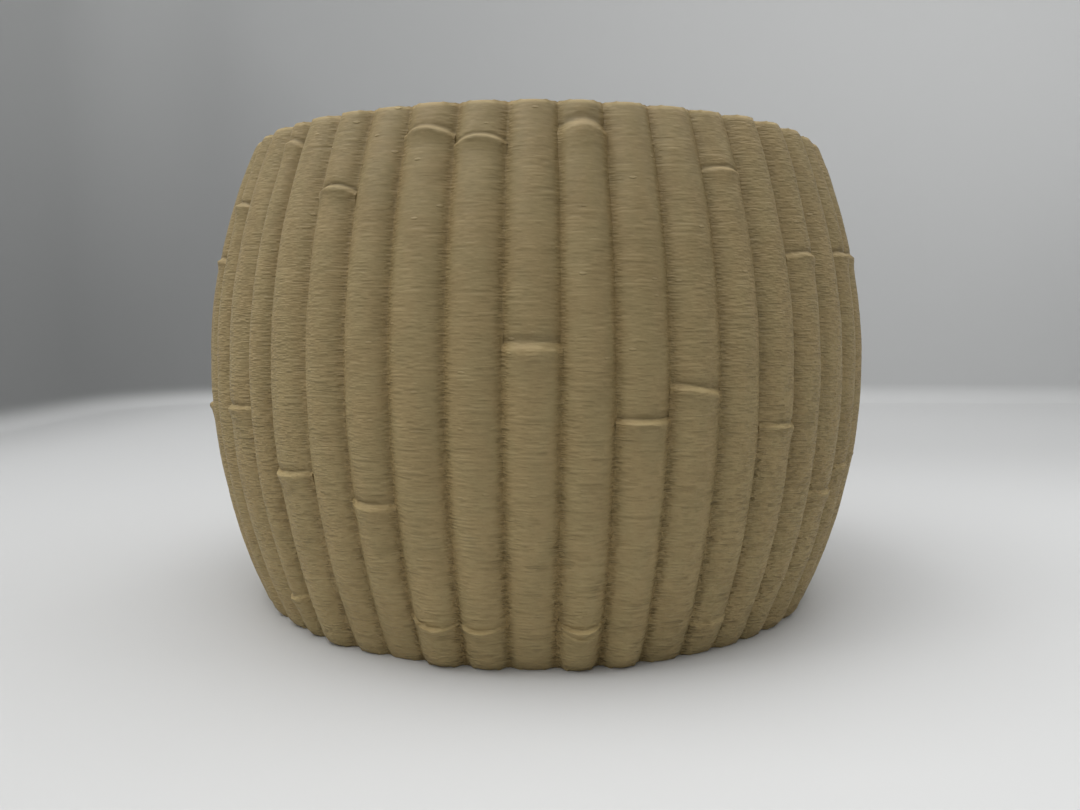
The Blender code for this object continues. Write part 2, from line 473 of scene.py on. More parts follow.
def displace(cane, strength, group, texture=None, direction="NORMAL", ruler=None):
    """Displaces a piece by its vertex group and applies it."""
    if not strength:
        return
    modifier = cane.modifiers.new("displace", "DISPLACE")
    modifier.strength = strength
    modifier.direction = direction
    modifier.vertex_group = group
    if texture:
        modifier.texture = texture
        modifier.mid_level = 0.5
        modifier.texture_coords = "OBJECT" if ruler else "GLOBAL"
        modifier.texture_coords_object = ruler
    else:
        modifier.mid_level = 0.0
    bpy.ops.object.modifier_apply(modifier=modifier.name)


def make_ruler(name, size):
    """An empty whose scale stretches the noise that a displacement reads through it."""
    ruler = bpy.data.objects.new(name, None)
    ruler.scale = size
    bpy.context.scene.collection.objects.link(ruler)
    return ruler


def clouds(name, size, depth=2):
    """A noise texture of a size."""
    texture = bpy.data.textures.new(name, "CLOUDS")
    texture.noise_scale = size
    texture.noise_depth = depth
    return texture


# The culms' unevenness: the size of each noise and how far it moves the surface. Waves and layers
# fade out over a short height at the rim and the base
WAVE_SIZE, WAVE_REACH = (0.006, 0.006, 0.010), 0.00030
LAYER_SIZE, LAYER_REACH = (0.0040, 0.0040, 0.0006), 0.00006
LIP_WANDER_SIZE, LIP_WANDER_REACH = 0.0030, 0.0008
LIP_RAGGED_SIZE, LIP_RAGGED_REACH = 0.0014, 0.00030
STILL_END = 0.0012
# How far above and below its middle a lip wanders
LIP_WANDER_HEIGHT = 0.0032
# A lip sinks by this share, by the time it lies this deep behind the crest
LIP_FADE, LIP_FADE_DEPTH = 0.3, 0.0013
# How deep the front of a head or foot that stands out is, and how far it reaches along the culm
FRONT_DEPTH = 0.0016
END_REACH = 0.016
# The steepest edge that is shaded smooth, in degrees
CULM_SMOOTH = 50
WALL_SMOOTH = 40
FLOOR_SMOOTH = 50
TRAY_SMOOTH = 40


class BAMBOO_OT_culms(bpy.types.Operator):
    """Models the ring of bowed, printed culms with their node lips"""

    bl_idname = "bamboo.culms"
    bl_label = "Printed Culms"

    def execute(self, context):
        scene = context.scene
        shape = scene.bamboo_shape
        material = khaki_print("culm_print", scene.bamboo_print)
        plain = make_cane(shape)
        wander = clouds("lip_wander", LIP_WANDER_SIZE)
        ragged = clouds("lip_ragged", LIP_RAGGED_SIZE)
        waves = clouds("culm_waves", 1.0, 1)
        uneven = clouds("layer_uneven", 1.0, 3)
        long_ruler = make_ruler("wave_ruler", WAVE_SIZE)
        flat_ruler = make_ruler("layer_ruler", LAYER_SIZE)
        before = CULMS[-1][0] - 180
        for index, (joint, lean, head, foot, nodes) in enumerate(CULMS):
            cane = plain.copy()
            cane.data = plain.data.copy()
            cane.name = f"printed_culm_{index + 1:02d}"
            scene.collection.objects.link(cane)
            select_only(cane)
            spread = math.radians(joint - before + JOINT_OVERLAP) / (2 * HALF_PITCH)
            cane.scale.x = spread
            bpy.ops.object.transform_apply(scale=True)
            self.stand_out(cane, shape, head, foot)
            for node in nodes:
                refine_node(cane, shape, node, spread)
            cane.rotation_euler.z = math.radians((joint + before) / 2)
            before = joint
            context.view_layer.update()
            for node in nodes:
                self.swell_lip(cane, shape, node, spread, wander, ragged)
            upright = weigh(
                cane, "upright", lambda at: min(at.z, shape.height - at.z) / STILL_END
            )
            displace(cane, WAVE_REACH, upright, waves, "Y", long_ruler)
            displace(cane, LAYER_REACH, upright, uneven, "NORMAL", flat_ruler)
            cane.vertex_groups.clear()
            cane.rotation_euler.z += math.radians(lean / 2)
            self.twist(cane, -math.radians(lean))
            bpy.ops.object.transform_apply(rotation=True)
            self.hand_over(cane, index, material)
            far = cane.copy()
            far.data = cane.data.copy()
            far.name = f"printed_culm_{index + 1 + NEAR_CULMS:02d}"
            scene.collection.objects.link(far)
            far.data.transform(Matrix.Rotation(math.pi, 4, "Z"))
            self.hand_over(far, index + NEAR_CULMS, material)
        for helper in (plain, long_ruler, flat_ruler):
            bpy.data.objects.remove(helper)
        return {"FINISHED"}

    def stand_out(self, cane, shape, head, foot):
        """Draws the front of the culm's head and foot out or in."""

        def front(at):
            return max(0.0, 1 - (at.y + crest(shape, at.z)) / FRONT_DEPTH)

        def end(distance):
            share = max(0.0, 1 - distance / END_REACH)
            return share * share * (3 - 2 * share)

        upper = weigh(cane, "head", lambda at: end(shape.height - at.z) * front(at))
        lower = weigh(cane, "foot", lambda at: end(at.z) * front(at))
        displace(cane, -MM * head, upper, direction="Y")
        displace(cane, -MM * foot, lower, direction="Y")
        cane.vertex_groups.clear()

    def swell_lip(self, cane, shape, node, spread, wander, ragged):
        """Raises a node's lip and sinks the groove above it."""
        proud, tall, groove = node[3:]
        rise = node_rise(shape, node, spread)
        ledge = shape.ledge * tall

        def front(at):
            return max(0.0, 1 - LIP_FADE * (at.y + crest(shape, at.z)) / LIP_FADE_DEPTH)

        def swell(at):
            return lip_swell(rise(at) / ledge, groove) * front(at)

        near = weigh(cane, "near", lambda at: 1 - abs(rise(at)) / LIP_WANDER_HEIGHT)
        displace(cane, LIP_WANDER_REACH, near, wander, "Z")
        out = weigh(cane, "out", swell)
        back = weigh(cane, "back", lambda at: -swell(at))
        displace(cane, -shape.lip * proud, out, direction="Y")
        displace(cane, shape.lip * proud, back, direction="Y")
        displace(cane, LIP_RAGGED_REACH, out, ragged)
        cane.vertex_groups.clear()
        # Paints a highlight on the ledge and shade in the groove above it
        self.paint_lip_highlight_and_shade(cane, lambda at: rise(at) / ledge, min(groove, 1.0))

    def paint_lip_highlight_and_shade(self, cane, steps, groove):
        """Marks the ledge for its painted highlight with values up to 1, and the groove above it
        for its painted shade with values below 0.
        """

        def mark_at(place, begin, grow, fade, end):
            return min(1.0, (place - begin) / grow, (end - place) / fade)

        attributes = cane.data.attributes
        mark = attributes.get("lip") or attributes.new("lip", "FLOAT", "POINT")
        for vert, spot in zip(cane.data.vertices, mark.data):
            place = steps(vert.co)
            if LEDGE_HIGHLIGHT_MARK[0] < place < LEDGE_HIGHLIGHT_MARK[-1]:
                spot.value = mark_at(place, *LEDGE_HIGHLIGHT_MARK)
            elif GROOVE_SHADE_MARK[0] <= place < GROOVE_SHADE_MARK[-1]:
                spot.value = -groove * mark_at(place, *GROOVE_SHADE_MARK)

    def twist(self, cane, turn):
        """Turns the culm's head round the pot's axis, its foot staying, the rest in proportion."""
        modifier = cane.modifiers.new("twist", "SIMPLE_DEFORM")
        modifier.deform_method = "TWIST"
        modifier.deform_axis = "Z"
        modifier.angle = turn
        bpy.ops.object.modifier_apply(modifier=modifier.name)

    def hand_over(self, cane, index, material):
        """Shades the culm, gives it its plastic and lets it stand in for its solid."""
        select_only(cane)
        bpy.ops.object.shade_smooth_by_angle(angle=math.radians(CULM_SMOOTH))
        cane.data.materials.clear()
        cane.data.materials.append(material)
        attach(cane, "root")
        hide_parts(f"culm_{index + 1:02d}")


def turn_profile(name, points, steps):
    """Spins a closed (radius, height) outline, drawn by extruding a vertex, into a closed ring."""
    seed, doubled = 0.001, 0.00001
    bpy.ops.object.select_all(action="DESELECT")
    bpy.ops.mesh.primitive_plane_add(size=seed)
    piece = bpy.context.object
    piece.name = name
    start_edit(piece)
    bpy.ops.mesh.merge(type="CENTER")
    radius, height = points[0]
    bpy.ops.transform.translate(value=(0, -radius, height))
    for (before_radius, before), (after_radius, after) in zip(points, points[1:]):
        step = (0, before_radius - after_radius, after - before)
        bpy.ops.mesh.extrude_vertices_move(TRANSFORM_OT_translate={"value": step})
    bpy.ops.mesh.select_all(action="SELECT")
    bpy.ops.mesh.spin(steps=steps, angle=2 * math.pi, center=(0, 0, 0), axis=(0, 0, 1))
    bpy.ops.mesh.select_all(action="SELECT")
    bpy.ops.mesh.remove_doubles(threshold=doubled)
    bpy.ops.mesh.normals_make_consistent(inside=False)
    end_edit()
    return piece


# How deep the wall's two faces lie behind the culms' crests, the rows up and the steps round it
WALL_OUTSIDE = 0.0036
WALL_INSIDE = 0.0063
WALL_ROWS = 64
WALL_STEPS = 200
# How far the wall's rim lies below the culms' ends, and how far its two edges are broken: the
# outer one as far down as in, the inner one in a steep cut
WALL_BELOW_RIM = 0.00003
OUTER_BREAK = 0.0001
INNER_BREAK, INNER_CUT = 0.0003, 0.00005
# The floor's ledge: the height of its top, the radius of its bore, and how far its edge is broken
LEDGE_TOP = 0.0020
LEDGE_BORE = 0.0419
LEDGE_BREAK = 0.0002


def wall_profile(shape):
    """The wall's closed outline: up its outside, over the rim and down to the ledge."""
    outside = []
    inside = []
    for step in range(WALL_ROWS + 1):
        height = shape.height * step / WALL_ROWS
        lean = math.cos(crest_tilt(shape, height))
        outside.append((crest(shape, height) - WALL_OUTSIDE / lean, height))
        inside.append((crest(shape, height) - WALL_INSIDE / lean, height))
    top = shape.height - WALL_BELOW_RIM
    edge = outside[-1][0]
    outside[-1:] = [(edge, top - OUTER_BREAK), (edge - OUTER_BREAK, top)]
    rim = inside[-1][0]
    inside[-1:] = [(rim + INNER_CUT, top - INNER_BREAK), (rim + INNER_BREAK, top)]
    inside = [point for point in inside if point[1] > LEDGE_TOP]
    ledge = [
        (inside[0][0], LEDGE_TOP),
        (LEDGE_BORE + LEDGE_BREAK, LEDGE_TOP),
        (LEDGE_BORE, LEDGE_TOP - LEDGE_BREAK),
        (LEDGE_BORE, 0.0),
    ]
    return outside + list(reversed(inside)) + ledge + [outside[0]]


class BAMBOO_OT_wall(bpy.types.Operator):
    """Turns the printed barrel wall with the ledge for the floor"""

    bl_idname = "bamboo.wall"
    bl_label = "Printed Wall"

    def execute(self, context):
        scene = context.scene
        wall = turn_profile("printed_wall", wall_profile(scene.bamboo_shape), WALL_STEPS)
        bpy.ops.object.shade_smooth_by_angle(angle=math.radians(WALL_SMOOTH))
        wall.data.materials.append(khaki_print("wall_print", scene.bamboo_print))
        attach(wall, "root")
        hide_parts("inner_wall")
        return {"FINISHED"}


# The radius of the drain hole, how far the disc keeps inside its solid, how far its lower and
# upper edges are broken, and the steps round it
DRAIN_RADIUS = 0.0050
DISC_INSIDE = 0.0001
LOWER_BREAK = 0.0003
UPPER_BREAK = 0.0004
DISC_STEPS = 144


class BAMBOO_OT_floor(bpy.types.Operator):
    """Turns the printed floor disc with its drain hole"""

    bl_idname = "bamboo.floor"
    bl_label = "Printed Floor"

    def execute(self, context):
        scene = context.scene
        low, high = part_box("floor")
        radius = high.x - DISC_INSIDE
        outline = [
            (DRAIN_RADIUS, low.z + LOWER_BREAK),
            (DRAIN_RADIUS + LOWER_BREAK, low.z),
            (radius - LOWER_BREAK, low.z),
            (radius, low.z + LOWER_BREAK),
            (radius, high.z - UPPER_BREAK),
            (radius - UPPER_BREAK, high.z),
            (DRAIN_RADIUS + UPPER_BREAK, high.z),
            (DRAIN_RADIUS, high.z - UPPER_BREAK),
            (DRAIN_RADIUS, low.z + LOWER_BREAK),
        ]
        disc = turn_profile("printed_floor", outline, DISC_STEPS)
        bpy.ops.object.shade_smooth_by_angle(angle=math.radians(FLOOR_SMOOTH))
        disc.data.materials.append(khaki_print("floor_print", scene.bamboo_print))
        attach(disc, "root")
        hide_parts("floor")
        return {"FINISHED"}


def add_node(tree, kind, place=(0, 0), **settings):
    """A new node at a place, with its settings."""
    node = tree.nodes.new(kind)
    node.location = place
    for name, value in settings.items():
        setattr(node, name, value)
    return node


def feed(tree, socket, value):
    """Feeds a socket from another one, with a number, or with a colour's three shares."""
    if isinstance(value, bpy.types.NodeSocket):
        tree.links.new(value, socket)
    elif isinstance(value, (int, float)):
        socket.default_value = value
    else:
        socket.default_value = (*value, 1)


def calculate(tree, operation, first, second=0.5, third=0.5):
    """A Math node's result, from sockets or numbers."""
    node = add_node(tree, "ShaderNodeMath", operation=operation)
    for socket, value in zip(node.inputs, (first, second, third)):
        feed(tree, socket, value)
    return node.outputs[0]


def product(tree, first, *others):
    """Sockets or numbers multiplied together."""
    for other in others:
        first = calculate(tree, "MULTIPLY", first, other)
    return first


def sum_of(tree, first, share, second):
    """A first value times a share, plus a second value."""
    return calculate(tree, "MULTIPLY_ADD", first, share, second)


def ramp(tree, value, low, high, low_out=0.0, high_out=1.0):
    """A socket's value, smoothly led from two places to the values there."""
    node = add_node(tree, "ShaderNodeMapRange", interpolation_type="SMOOTHSTEP")
    tree.links.new(value, node.inputs["Value"])
    ends = {"From Min": low, "From Max": high, "To Min": low_out, "To Max": high_out}
    for end, number in ends.items():
        node.inputs[end].default_value = number
    return node.outputs["Result"]


def axes(tree, vector):
    """A vector's X, Y and Z."""
    node = add_node(tree, "ShaderNodeSeparateXYZ")
    tree.links.new(vector, node.inputs[0])
    return tuple(node.outputs)


def object_position(tree):
    """The place on the piece."""
    return add_node(tree, "ShaderNodeTexCoord", (-700, 0)).outputs["Object"]


def stretched(tree, position, size):
    """The position divided by a size along each axis."""
    node = add_node(tree, "ShaderNodeVectorMath", operation="DIVIDE")
    tree.links.new(position, node.inputs[0])
    node.inputs[1].default_value = size
    return node.outputs[0]


def noise_at(tree, place, detail=2.0):
    """Noise about 0.5 at a place that is measured in grains."""
    node = add_node(tree, "ShaderNodeTexNoise", noise_dimensions="3D")
    tree.links.new(place, node.inputs["Vector"])
    node.inputs["Scale"].default_value = 1.0
    node.inputs["Detail"].default_value = detail
    return node.outputs["Fac"]


def noise_value(tree, position, size, detail=2.0):
    """Noise about 0.5, its grain stretched to a size along each axis."""
    return noise_at(tree, stretched(tree, position, size), detail)


def mix_colours(tree, share, first, second, blend="MIX"):
    """Two colours, each a socket or three numbers, mixed by a share."""
    node = add_node(tree, "ShaderNodeMix", data_type="RGBA", blend_type=blend)
    for index, value in ((0, share), (6, first), (7, second)):
        feed(tree, node.inputs[index], value)
    return node.outputs[2]


def scaled(tree, colour, gain):
    """A colour times a gain."""
    node = add_node(tree, "ShaderNodeVectorMath", operation="SCALE")
    tree.links.new(colour, node.inputs[0])
    tree.links.new(gain, node.inputs["Scale"])
    return node.outputs[0]


def shared_group(name, setting, default, outputs, build):
    """The named node group with one setting, built once and then shared by the materials."""
    tree = bpy.data.node_groups.get(name)
    if tree:
        return tree
    tree = bpy.data.node_groups.new(name, "ShaderNodeTree")
    socket = tree.interface.new_socket(
        name=setting, in_out="INPUT", socket_type="NodeSocketFloat"
    )
    socket.default_value = default
    for title in outputs:
        tree.interface.new_socket(name=title, in_out="OUTPUT", socket_type="NodeSocketFloat")
    source = add_node(tree, "NodeGroupInput", (-900, 0))
    result = add_node(tree, "NodeGroupOutput", (900, 0))
    values = build(tree, object_position(tree), source.outputs[setting])
    for title, value in zip(outputs, values):
        tree.links.new(value, result.inputs[title])
    return tree


# The coarse and the fine streaks: their length in metres and thickness in layers
COARSE_STREAK = (0.0034, 1.20)
FINE_STREAK = (0.0012, 0.75)
# How far the streaks' noise jumps from one layer to the next
LAYER_JUMP = 3.7
# How the marks change, each as two places and the values there. Across half a culm, up to its joint
ROUGH_JOINT = (0.68, 0.94)
# Where the painted shade along the joints grows, across half a culm
JOINT_SHADE_REACH = (0.66, 0.99)
# In patches, by their noise
PATCH_SIZE = (0.0040, 0.0040, 0.0020)
PATCHES = (0.40, 0.66, 0.50, 1.40)
# Along X, on the left and on the right: the marks grow stronger out to the sides, their tone partly
# painted shade of the relief in grazing light
LEFT_MARKS = (-0.044, -0.016, 1.75, 1.10)
RIGHT_MARKS = (0.012, 0.040, 1.0, 2.4)
# From the front out to both sides
ASIDE = (0.014, 0.040)
RAGGED_ASIDE = (*ASIDE, 1.7, 0.4)
FINE_ASIDE = (*ASIDE, 0.50, 1.0)
COARSE_ASIDE = (*ASIDE, 1.0, 0.60)
# Up the pot: all marks, what the sides lose at the foot, and the depth of the marks alone
LOW_MARKS = (0.0, 0.050, 1.30, 1.0)
CALM_FOOT = (0.004, 0.034, 0.55, 0.0)
OVERHANG = (0.0, 0.075, 2.2, 0.35)
# The depths that give the darkest and the lightest tone: partly print colour, partly painted shade
# in the layers' grooves and painted light on their beads
TONES = (-0.19, 0.19)


def layer_streaks(tree, position, layer, length, thickness):
    """Beads a few layers thick whose height changes along the layer."""
    x, y, z = axes(tree, position)
    level = calculate(tree, "DIVIDE", z, product(tree, layer, thickness))
    along = add_node(tree, "ShaderNodeCombineXYZ")
    tree.links.new(calculate(tree, "DIVIDE", x, length), along.inputs["X"])
    tree.links.new(calculate(tree, "DIVIDE", y, length), along.inputs["Y"])
    number = product(tree, calculate(tree, "FLOOR", level), LAYER_JUMP)
    tree.links.new(number, along.inputs["Z"])
    part = calculate(tree, "FRACT", level)
    bead = product(tree, calculate(tree, "SUBTRACT", 1.0, part), product(tree, part, 4.0))
    streak = noise_at(tree, along.outputs[0])
    return product(tree, calculate(tree, "SUBTRACT", streak, 0.5), bead)


def print_layers(tree, position, layer):
    """Streaks that the printed layers leave on upright faces, rougher along the culms' joints, and
    the share of painted shade along the joints.
    """
    x, _, z = axes(tree, position)
    beside = calculate(tree, "ABSOLUTE", x)
    across = add_node(tree, "ShaderNodeAttribute", attribute_name="across").outputs["Fac"]

    ragged = product(tree, ramp(tree, across, *ROUGH_JOINT), ramp(tree, beside, *RAGGED_ASIDE))
    fine_share = calculate(tree, "ADD", ragged, ramp(tree, beside, *FINE_ASIDE))
    patch = ramp(tree, noise_value(tree, position, PATCH_SIZE, 1.0), *PATCHES)
    coarse_share = product(tree, patch, ramp(tree, beside, *COARSE_ASIDE))
    coarse = layer_streaks(tree, position, layer, *COARSE_STREAK)
    fine = layer_streaks(tree, position, layer, *FINE_STREAK)
    marks = sum_of(tree, fine, fine_share, product(tree, coarse, coarse_share))

    calm = product(tree, ramp(tree, z, *CALM_FOOT), ramp(tree, beside, *ASIDE))
    upwards = calculate(tree, "SUBTRACT", ramp(tree, z, *LOW_MARKS), calm)
    sides = product(tree, ramp(tree, x, *LEFT_MARKS), ramp(tree, x, *RIGHT_MARKS), upwards)
    marks = product(tree, marks, sides)
    height = product(tree, marks, ramp(tree, z, *OVERHANG))
    return height, ramp(tree, marks, *TONES), ramp(tree, across, *JOINT_SHADE_REACH)


# How far the strands on level faces wander, and the size of that noise
STRAND_WANDER = 0.0004
STRAND_NOISE = (0.006, 0.006, 0.006)


def print_strands(tree, position, width):
    """Strands that the nozzle lays side by side on level faces, round the pot near the rim."""
    x, y, _ = axes(tree, position)
    radius = calculate(tree, "SQRT", sum_of(tree, x, x, product(tree, y, y)))
    wobble = noise_value(tree, position, STRAND_NOISE)
    turns = calculate(tree, "DIVIDE", sum_of(tree, wobble, STRAND_WANDER, radius), width)
    wave = calculate(tree, "SINE", product(tree, turns, 2 * math.pi))
    return (sum_of(tree, wave, 0.5, 0.5),)


# The size of the cells that may each hold a bead, and how far the bead's top and foot reach in one
SPECK_CELL = (0.0032, 0.0032, 0.0012)
SPECK_BEAD = (0.08, 0.20, 1.0, 0.0)


def print_specks(tree, position, share):
    """Scattered small beads of plastic, as heights."""
    cells = add_node(tree, "ShaderNodeTexVoronoi", voronoi_dimensions="3D", feature="F1")
    tree.links.new(stretched(tree, position, SPECK_CELL), cells.inputs["Vector"])
    cells.inputs["Scale"].default_value = 1.0
    colour = add_node(tree, "ShaderNodeSeparateColor")
    tree.links.new(cells.outputs["Color"], colour.inputs[0])
    chosen = calculate(tree, "LESS_THAN", colour.outputs[0], share)
    return (product(tree, ramp(tree, cells.outputs["Distance"], *SPECK_BEAD), chosen),)


# Each effect's group: its name, its setting with a default, what it puts out, and its builder
LAYERS = ("print_layers", "Layer", 0.0004, ("Height", "Tone And Shade", "Joint Shade"), print_layers)
STRANDS = ("print_strands", "Width", 0.0005, ("Height",), print_strands)
SPECKS = ("print_specks", "Share", 0.1, ("Height",), print_specks)

# How steeply up a face has to point for strands to start and to be all there is
LEVEL_FACE = (0.86, 0.97)
# The share of cells with a bead, and the heights of the strands and the beads
SPECK_SHARE = 0.16
STRAND_HEIGHT = 0.25
SPECK_HEIGHT = 0.45
# How much the streaks, the blotches and the beads each lighten the plastic: the streaks' share is
# partly painted light and shade of the layers, the beads' is a painted highlight
STREAK_TONE_AND_SHADE = 0.50
BLOTCH_TONE = 0.50
SPECK_HIGHLIGHT = 0.45
BLOTCH_SIZE = (0.005, 0.005, 0.009)
# The plastic's two casts, and the noise that turns one into the other
REDDER = (1.010, 0.996, 0.992)
BLUER = (0.990, 1.004, 1.008)
CAST_SIZE = (0.0035, 0.0035, 0.006)
CASTS = (0.35, 0.65)
# Painted light and shade: the tone up the pot, lighter at the foot and darker at the rim, and out
# to its sides, lighter there, the painted highlight along the rim's edge and its gain, and the
# gains of the painted highlight on a ledge and of the painted shade in the groove above it
UPWARD_PAINTED_LIGHT = (0.0, 0.080, 1.11, 0.76)
SIDE_PAINTED_LIGHT = (0.018, 0.044, 1.0, 1.06)
RIM_HIGHLIGHT_LINE = (0.0793, 0.0798)
RIM_HIGHLIGHT_GAIN = 0.30
LEDGE_HIGHLIGHT_GAIN = 0.10
GROOVE_SHADE_GAIN = 0.20
# The painted shade along the culms' joints, warm like light bounced between them, and how strong it
# is from the front out to the sides
JOINT_PAINTED_SHADE = (0.72, 0.63, 0.47)
JOINT_SHADE_STRENGTH = (0.012, 0.036, 0.45, 0.05)
# How much of a plastic's plain gloss the print has
PRINT_SPECULAR = 0.3


def khaki_print(name, settings):
    """Matte khaki plastic with print streaks, strands on level faces, beads and soft tones, and
    painted light and shade on its layers, beads, ledges, grooves, joints, rim and sides.
    """
    material = bpy.data.materials.get(name)
    if material:
        return material
    material = bpy.data.materials.new(name)
    material.use_nodes = True
    tree = material.node_tree
    shader = tree.nodes["Principled BSDF"]
    position = object_position(tree)
    x, _, z = axes(tree, position)
    beside = calculate(tree, "ABSOLUTE", x)
    facing = axes(tree, add_node(tree, "ShaderNodeNewGeometry").outputs["Normal"])
    level = ramp(tree, calculate(tree, "ABSOLUTE", facing[2]), *LEVEL_FACE)

    layers = add_node(tree, "ShaderNodeGroup", node_tree=shared_group(*LAYERS))
    layers.inputs["Layer"].default_value = settings.layer
    strands = add_node(tree, "ShaderNodeGroup", node_tree=shared_group(*STRANDS))
    specks = add_node(tree, "ShaderNodeGroup", node_tree=shared_group(*SPECKS))
    specks.inputs["Share"].default_value = SPECK_SHARE
    speck = specks.outputs["Height"]

    mixed = add_node(tree, "ShaderNodeMix", data_type="FLOAT")
    tree.links.new(level, mixed.inputs[0])
    tree.links.new(layers.outputs["Height"], mixed.inputs[2])
    tree.links.new(product(tree, strands.outputs["Height"], STRAND_HEIGHT), mixed.inputs[3])
    bump = add_node(tree, "ShaderNodeBump")
    bump.inputs["Strength"].default_value = 1.0
    bump.inputs["Distance"].default_value = settings.relief
    tree.links.new(sum_of(tree, speck, SPECK_HEIGHT, mixed.outputs[0]), bump.inputs["Height"])
    tree.links.new(bump.outputs["Normal"], shader.inputs["Normal"])

    # The streaks' tone mixes the lit colour with the painted shade between the layers; the blotches
    # are random tone
    blotch = noise_value(tree, position, BLOTCH_SIZE)
    tone = sum_of(tree, layers.outputs["Tone And Shade"], STREAK_TONE_AND_SHADE, product(tree, blotch, BLOTCH_TONE))
    # Painted highlight: each bead is made lighter
    tone = sum_of(tree, speck, SPECK_HIGHLIGHT, tone)
    khaki = mix_colours(tree, tone, settings.shade, settings.lit)
    turn = ramp(tree, noise_value(tree, position, CAST_SIZE, 1.0), *CASTS)
    khaki = mix_colours(tree, 1.0, khaki, mix_colours(tree, turn, REDDER, BLUER), "MULTIPLY")

    lip = add_node(tree, "ShaderNodeAttribute", attribute_name="lip").outputs["Fac"]
    # Painted light and shade: lighter at the foot, darker at the rim, and lighter out to the sides
    gain = product(tree, ramp(tree, z, *UPWARD_PAINTED_LIGHT), ramp(tree, beside, *SIDE_PAINTED_LIGHT))
    # Painted highlight along the rim's edge, on upright faces only
    upright = calculate(tree, "SUBTRACT", 1.0, level)
    gain = sum_of(tree, product(tree, ramp(tree, z, *RIM_HIGHLIGHT_LINE), upright), RIM_HIGHLIGHT_GAIN, gain)
    # Painted highlight on the ledges and painted shade in the grooves above them, from the lip
    # attribute
    gain = sum_of(tree, calculate(tree, "MAXIMUM", lip, 0.0), LEDGE_HIGHLIGHT_GAIN, gain)
    gain = sum_of(tree, calculate(tree, "MINIMUM", lip, 0.0), GROOVE_SHADE_GAIN, gain)
    # Painted shade along the culms' joints, strongest at the front
    joint = product(tree, layers.outputs["Joint Shade"], ramp(tree, beside, *JOINT_SHADE_STRENGTH))
    khaki = mix_colours(tree, joint, scaled(tree, khaki, gain), JOINT_PAINTED_SHADE, "MULTIPLY")
    tree.links.new(khaki, shader.inputs["Base Color"])
    shader.inputs["Roughness"].default_value = settings.roughness
    shader.inputs["Specular IOR Level"].default_value = PRINT_SPECULAR
    return material


STAGE_ROUGHNESS = 0.6
STAGE_SPECULAR = 0.2
# Painted shade and light on the walls: where their darker left colour turns into their lighter
# right one, and how much lighter they get going up, on the left and further right
WALL_ACROSS = (-0.26, 0.30)
WALL_PAINTED_LIGHT = (-0.250, -0.190, 0.60, 0.23)
WALL_UP = (0.01, 0.24)
# The white part of the left wall, out of the camera's view, along X and Y
WHITE = (0.88, 0.88, 0.88)
WHITE_X = (-0.24, -0.20, 1.0, 0.0)
WHITE_Y = (0.12, 0.20, 1.0, 0.0)
# Where the floor turns into the walls, and where painted shade darkens its far right part, and the
# share of its colour that is left there
FLOOR_TO_WALL = (0.000, 0.011)
FAR_X = (-0.20, 0.10)
FAR_Y = (0.0, 0.20)
FAR_SHADE_SHARE = 0.77


def stage_paint(settings):
    """Pale floor that turns grey up the walls, darker on the left than on the right, with painted
    shade and light on the walls and painted shade on the floor's far right.
    """
    material = bpy.data.materials.new("pale_studio")
    material.use_nodes = True
    tree = material.node_tree
    shader = tree.nodes["Principled BSDF"]
    shader.inputs["Roughness"].default_value = STAGE_ROUGHNESS
    shader.inputs["Specular IOR Level"].default_value = STAGE_SPECULAR
    x, y, z = axes(tree, object_position(tree))
    wall = mix_colours(tree, ramp(tree, x, *WALL_ACROSS), settings.wall_left, settings.wall_right)
    gain = sum_of(tree, ramp(tree, z, *WALL_UP), ramp(tree, x, *WALL_PAINTED_LIGHT), 1.0)
    white = product(tree, ramp(tree, x, *WHITE_X), ramp(tree, y, *WHITE_Y))
    wall = mix_colours(tree, white, scaled(tree, wall, gain), WHITE)
    # Painted shade on the floor's far right
    far = product(tree, ramp(tree, x, *FAR_X), ramp(tree, y, *FAR_Y))
    shaded_floor = [FAR_SHADE_SHARE * share for share in settings.floor]
    ground = mix_colours(tree, far, settings.floor, shaded_floor)
    paint = mix_colours(tree, ramp(tree, z, *FLOOR_TO_WALL), ground, wall)
    tree.links.new(paint, shader.inputs["Base Color"])
    return material


# Each softbox: how far round from the front it hangs, towards +X, and how far up, in degrees, its
# distance from the pot and its width in metres, and its power in watts
SOFTBOXES = (
    ("overhead_softbox", 0, 89, 1.10, 0.90, 7.4),
    ("front_softbox", 0, 52, 1.00, 0.60, 1.45),
    ("left_front_softbox", -45, 52, 1.00, 0.60, 1.9),
    ("left_softbox", -80, 56, 1.00, 0.70, 5.1),
    ("right_back_softbox", 135, 52, 1.00, 0.60, 1.0),
    ("right_softbox", 90, 52, 1.00, 0.60, 2.1),
)
AIM_HEIGHT = 0.04


def add_softbox(name, around, up, distance, size, power):
    """A square area lamp that faces the pot."""
    turn, rise = math.radians(around), math.radians(up)
    level = distance * math.cos(rise)
    aim = Vector((0, 0, AIM_HEIGHT))
    away = Vector((level * math.sin(turn), -level * math.cos(turn), distance * math.sin(rise)))
    lamp = bpy.data.lights.new(name, "AREA")
    lamp.size = size
    lamp.energy = power
    item = bpy.data.objects.new(name, lamp)
    item.location = aim + away
    item.rotation_euler = (-away).to_track_quat("-Z", "Y").to_euler()
    bpy.context.scene.collection.objects.link(item)


# The room's light on the pot, and how much more of it the camera sees
ROOM_LIGHT = 0.05
ROOM_SEEN = 0.40


